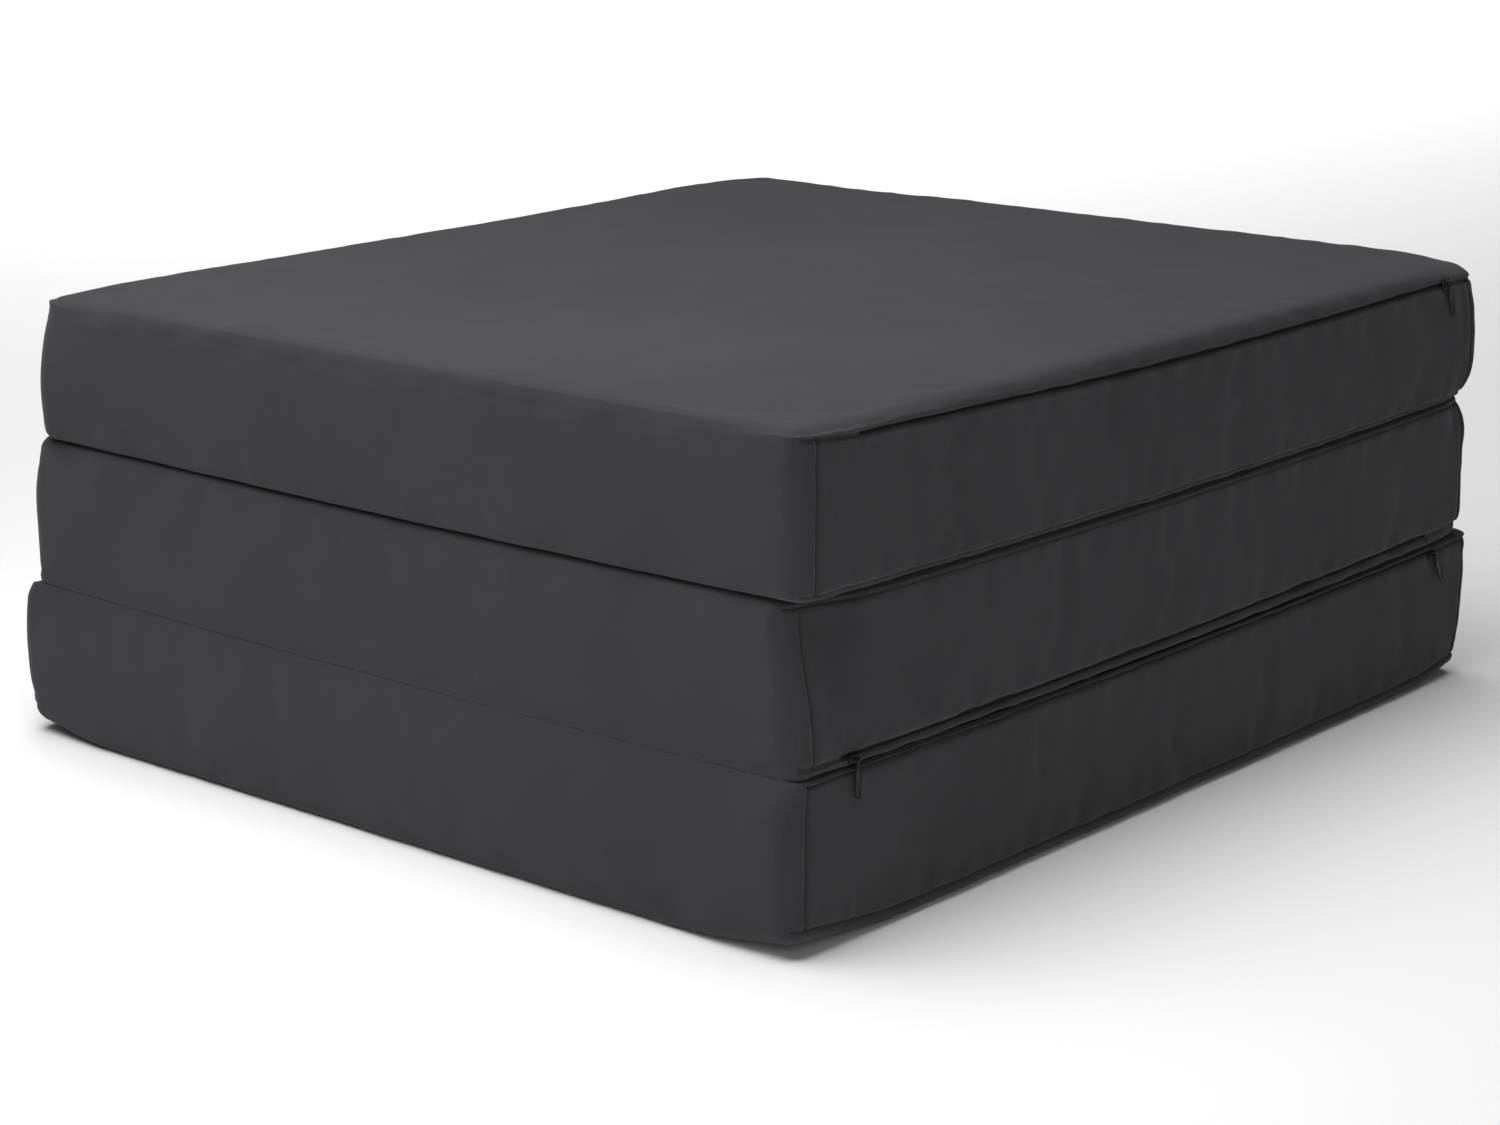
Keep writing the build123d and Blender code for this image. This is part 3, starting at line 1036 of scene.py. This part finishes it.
def tube(path, across, along):
    """A tube of rings with closed ends: each ring is its path point plus its two parts."""
    rings, sides = across.shape[:2]
    points = (path[:, None] + across + along).reshape(-1, 3)
    faces = []
    for ring in range(rings - 1):
        for side in range(sides):
            a = ring * sides + side
            b = ring * sides + (side + 1) % sides
            faces.append([a, b, b + sides, a + sides])
    last = (rings - 1) * sides
    faces.append(list(range(sides))[::-1])
    faces.append([last + side for side in range(sides)])
    return points, faces


def wire(path, radius, sides):
    """A round wire along a path."""
    forward = np.gradient(path, axis=0)
    forward /= np.linalg.norm(forward, axis=1, keepdims=True)
    helper = np.where(np.abs(forward[:, [2]]) < 0.9, (0.0, 0.0, 1.0), (1.0, 0.0, 0.0))
    first = np.cross(forward, helper)
    first /= np.linalg.norm(first, axis=1, keepdims=True)
    second = np.cross(forward, first)
    angle = np.arange(sides) * 2 * math.pi / sides
    across = first[:, None] * np.cos(angle)[None, :, None] * radius
    along = second[:, None] * np.sin(angle)[None, :, None] * radius
    return tube(path, across, along)


def pebble(centre, half, power=6, steps=8):
    """A box with softly rounded edges."""
    lines = [np.linspace(-1, 1, steps + 1)] * 3
    box = Grid(lines)
    length = (np.abs(box.points) ** power).sum(axis=1) ** (1 / power)
    points = box.points / length[:, None] * np.array(half) + np.array(centre)
    return points, box.quads.tolist()


def tape(block, side, sign):
    """One zipper tape, a strip behind the cover along the zipper line."""
    x = np.linspace(*block.zip_x, TAPE_STEPS)
    course = zip_course(block, x)
    outer = TAPE_OFFSET + TAPE_THICKNESS
    corners = [
        (TAPE_FRONT, TAPE_OFFSET),
        (TAPE_BACK, TAPE_OFFSET),
        (TAPE_BACK, outer),
        (TAPE_FRONT, outer),
    ]
    ring = np.array([(0, depth, sign * rise) for depth, rise in corners])[::sign]
    across = np.broadcast_to(ring, (len(x), 4, 3))
    points, faces = tube(course, across, np.zeros_like(across))
    name = f"{block.name}_zip_{side}_tape"
    made = new_object(f"{name}_weave", points, faces, smooth_shading=False)
    dress(made, "zip_tape", name)
    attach(made, block.body)


def coil(block, side, sign):
    """One zipper coil, a flattened helix whose turns mesh with the other coil's."""
    low, high = block.zip_x[0] + COIL_INSET, block.zip_x[1] - COIL_INSET
    turns = int((high - low) / COIL_PITCH)
    count = turns * COIL_TURN + 1
    x = np.linspace(low, high, count)
    angle = np.arange(count) * 2 * math.pi / COIL_TURN + (0 if sign > 0 else math.pi)
    path = zip_course(block, x)
    path[:, 1] += COIL_IN + COIL_DEPTH * np.cos(angle)
    path[:, 2] += sign * COIL_OFFSET + COIL_HEIGHT * np.sin(angle)
    points, faces = wire(path, COIL_WIRE, WIRE_SIDES)
    name = f"{block.name}_zip_{side}_coil"
    made = new_object(f"{name}_wire", points, faces)
    dress(made, "zip_coil", name)
    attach(made, block.body)


def end_stops(block):
    """The two crimped stops at the zipper's ends."""
    stops = []
    for x in (block.zip_x[0] + STOP_INSET, block.zip_x[1] - STOP_INSET):
        centre = zip_course(block, np.array([x]))[0] + (0, COIL_IN, 0)
        stops.append(pebble(centre, np.array(STOP_HALF) * MM))
    name = f"{block.name}_zip_end_stops"
    made = new_object(f"{name}_metal", *joined(stops))
    dress(made, "zip_metal", name)
    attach(made, block.body)


def slider(block, pivot):
    """The slider: a plate that narrows to one end, its neck and wing, and the bail."""
    x, bail_y, z = pivot
    plate_y = block.low[1] - PLATE_GAP - PLATE[1] * MM
    plate, plate_faces = pebble((0, 0, 0), PLATE, power=5, steps=12)
    plate[:, 2] *= PLATE_WIDE - PLATE_NARROWING * block.pull_way * plate[:, 0] / PLATE[0]
    plate[:, 1] -= PLATE_DOME * (1 - (plate[:, 2] / PLATE[2]) ** 2) * (plate[:, 1] < 0)
    plate = plate * MM + (x, plate_y, z)
    neck = pebble((x, block.low[1] + SLIDER_NECK_IN * MM, z), np.array(SLIDER_NECK) * MM)
    wing = pebble((x, block.low[1] + SLIDER_WING_IN * MM, z), np.array(SLIDER_WING) * MM)
    turn = np.linspace(0, math.pi / 2, BAIL_CORNER_STEPS)
    rise_x = x - BAIL_HALF + BAIL_CORNER * (1 - np.cos(turn))
    rise_y = bail_y + BAIL_CORNER * (1 - np.sin(turn))
    rise = [(x - BAIL_HALF, plate_y + BAIL_FOOT, z)]
    rise += [(px, py, z) for px, py in zip(rise_x, rise_y)]
    fall = [(2 * x - px, py, pz) for px, py, pz in rise[::-1]]
    bail = wire(np.array(rise + fall), BAIL_WIRE, BAIL_SIDES)
    name = f"{block.name}_zip_slider"
    made = new_object(f"{name}_metal", *joined([(plate, plate_faces), neck, wing, bail]))
    dress(made, "zip_metal", name)
    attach(made, f"{block.name}_slider")


def tab_outline(inset):
    """Rounded rectangle round the middle of the tab, drawn in by an inset: X and Z."""
    half_x = TAB_WIDTH / 2 - inset
    half_z = (TAB_LENGTH - TAB_NECK) / 2 - inset
    radius = TAB_CORNER - inset
    arc = np.linspace(0, math.pi / 2, TAB_CORNER_STEPS)
    outline = []
    for quarter, (sx, sz) in enumerate(((1, 1), (-1, 1), (-1, -1), (1, -1))):
        for angle in arc + quarter * math.pi / 2:
            across = sx * (half_x - radius) + radius * math.cos(angle)
            outline.append((across, sz * (half_z - radius) + radius * math.sin(angle)))
    return np.array(outline)


def tab():
    """The pull's tab: a plate with a raised rim on both faces, round its own middle."""
    face = [
        (TAB_FACE_IN, TAB_MIDDLE),
        (TAB_RIM_IN, TAB_RIM),
        (TAB_EDGE_IN, TAB_RIM),
        (0.0, TAB_MIDDLE),
    ]
    rings = [(inset, -y) for inset, y in face] + face[::-1]
    layers = []
    for inset, y in rings:
        outline = tab_outline(inset)
        layers.append(np.column_stack((outline[:, 0], np.full(len(outline), y), outline[:, 1])))
    across = np.array(layers)
    points, faces = tube(np.zeros((len(rings), 3)), across, np.zeros_like(across))
    return points, [face[::-1] for face in faces]


def eye():
    """The ring that turns on the bail, round the X axis."""
    middle = (EYE_INNER + EYE_OUTER) / 2
    half = (EYE_OUTER - EYE_INNER) / 2
    section = np.linspace(0, 2 * math.pi, EYE_SIDES, endpoint=False)
    width = np.sign(np.cos(section)) * np.abs(np.cos(section)) ** 0.4 * EYE_HALF
    radius = middle + np.sign(np.sin(section)) * np.abs(np.sin(section)) ** 0.6 * half
    points, faces = [], []
    for turn in range(EYE_TURNS):
        angle = 2 * math.pi * turn / EYE_TURNS
        points += [(w, r * math.cos(angle), r * math.sin(angle)) for w, r in zip(width, radius)]
        here, there = turn * EYE_SIDES, (turn + 1) % EYE_TURNS * EYE_SIDES
        for side in range(EYE_SIDES):
            beside = (side + 1) % EYE_SIDES
            faces.append([here + side, there + side, there + beside, here + beside])
    return np.array(points), faces


def pull(block, pivot):
    """The pull, leaning as it does in the frame."""
    low, high = (np.array(corner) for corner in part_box(f"{block.name}_zip_pull"))
    to_high, to_low = high[0] - pivot[0], pivot[0] - low[0]
    sideways = max(to_high, to_low) - TAB_WIDTH / 2
    lean = math.atan2(sideways, pivot[2] - low[2] - TAB_CORNER)
    lean = lean if to_high > to_low else -lean
    tab_points, tab_faces = tab()
    tab_points = tab_points - (0, 0, (TAB_LENGTH + TAB_NECK) / 2)
    neck_z = -(TAB_NECK + EYE_INNER) / 2 - PULL_NECK_DOWN
    neck = pebble((0, 0, neck_z), np.array(PULL_NECK) * MM)
    hanging, faces = joined([(tab_points, tab_faces), neck])
    cos, sin = math.cos(lean), math.sin(lean)
    turn = np.array(((cos, 0, -sin), (0, 1, 0), (sin, 0, cos)))
    points, faces = joined([(hanging @ turn.T, faces), eye()])
    name = f"{block.name}_zip_pull"
    made = new_object(f"{name}_metal", points + np.array(pivot), faces)
    dress(made, "zip_metal", name)
    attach(made, f"{block.name}_pull")


def build_zipper(block):
    """Both tapes and coils, the end stops, the slider and the pull of one block."""
    joints = {joint["name"]: joint for joint in frame["joints"]}
    pivot = joints[f"{block.name}_pull_swing"]["pos_m"]
    for side, sign in (("upper", 1), ("lower", -1)):
        tape(block, side, sign)
        coil(block, side, sign)
    end_stops(block)
    slider(block, pivot)
    pull(block, pivot)


for each in BLOCKS.values():
    build_block(each)
    build_zipper(each)


# --- floor, light and camera ------------------------------------------------------------------
FLOOR_HALF = 60.0
FLOOR_DROP = 0.5 * MM
SUN_STRENGTH, SUN_WAY, SUN_SOFTNESS = 1.25, (0.0, 0.05, 1.0), 45
KEY_WATTS, KEY_PLACE, KEY_SIZE = 11.5, (-0.50, 0.05, 1.05), 1.0
FILL_WATTS, FILL_PLACE, FILL_SIZE = 4.5, (-1.15, -1.15, 0.55), 0.8
BACKDROP_WATTS, BACKDROP_PLACE, BACKDROP_SIZE, BACKDROP_SPREAD = 220.0, (4.2, 4.8, 3.0), 8.0, 90
WORLD_STRENGTH = 0.03
CAMERA_AZIMUTH, CAMERA_ELEVATION, CAMERA_DISTANCE = -49.612, 14.68, 2.034
CAMERA_AIM = (-0.0167, 0.0024, 0.0925)
CAMERA_LENS = 78.76


def floor():
    """A wide pale floor, just under the stack."""
    size = FLOOR_HALF
    corners = np.array([(-size, -size, 0), (size, -size, 0), (size, size, 0), (-size, size, 0)])
    made = new_object("floor", corners, [(0, 1, 2, 3)])
    made.location.z = -FLOOR_DROP
    material, tree, shader = new_material("floor")
    set_shader(shader, Base_Color=(0.90, 0.90, 0.90, 1), Roughness=0.9, Specular_IOR_Level=0.2)
    made.data.materials.append(material)


def sun(name, direction, strength, softness):
    """A sun lamp that shines from a direction, with its width in degrees."""
    data = bpy.data.lights.new(name, "SUN")
    data.energy = strength
    data.angle = math.radians(softness)
    aimed_lamp(name, data, (0, 0, 0), direction)


def panel_light(name, place, size, watts, target=(0, 0, HALF_HEIGHT), spread=180):
    """A square soft light that faces the stack, or another target."""
    data = bpy.data.lights.new(name, "AREA")
    data.shape = "SQUARE"
    data.size = size
    data.energy = watts
    data.spread = math.radians(spread)
    aimed_lamp(name, data, place, Vector(place) - Vector(target))


def aimed_lamp(name, data, place, back):
    """A lamp at a place, with its back turned that way."""
    lamp = bpy.data.objects.new(name, data)
    lamp.location = place
    lamp.rotation_euler = Vector(back).to_track_quat("Z", "Y").to_euler()
    bpy.context.scene.collection.objects.link(lamp)


def lighting():
    """A soft light from above, two soft panels on the left, and one that lights the floor behind."""
    sun("overhead", SUN_WAY, SUN_STRENGTH, SUN_SOFTNESS)
    panel_light("key", KEY_PLACE, KEY_SIZE, KEY_WATTS)
    panel_light("fill", FILL_PLACE, FILL_SIZE, FILL_WATTS)
    below = (*BACKDROP_PLACE[:2], 0)
    panel_light(
        "backdrop", BACKDROP_PLACE, BACKDROP_SIZE, BACKDROP_WATTS, below, BACKDROP_SPREAD
    )
    world = bpy.data.worlds.new("studio")
    world.use_nodes = True
    set_shader(world.node_tree.nodes["Background"], Color=(1, 1, 1, 1), Strength=WORLD_STRENGTH)
    bpy.context.scene.world = world
    bpy.context.scene.view_settings.view_transform = "Standard"


def camera():
    """The camera, low and from the front-left corner."""
    azimuth, elevation = math.radians(CAMERA_AZIMUTH), math.radians(CAMERA_ELEVATION)
    back = Vector(
        (
            math.sin(azimuth) * math.cos(elevation),
            -math.cos(azimuth) * math.cos(elevation),
            math.sin(elevation),
        )
    )
    data = bpy.data.cameras.new("camera")
    data.lens = CAMERA_LENS
    data.sensor_width = 36
    made = bpy.data.objects.new("camera", data)
    made.location = Vector(CAMERA_AIM) + back * CAMERA_DISTANCE
    made.rotation_euler = (-back).to_track_quat("-Z", "Y").to_euler()
    bpy.context.scene.collection.objects.link(made)
    bpy.context.scene.camera = made


floor()
lighting()
camera()
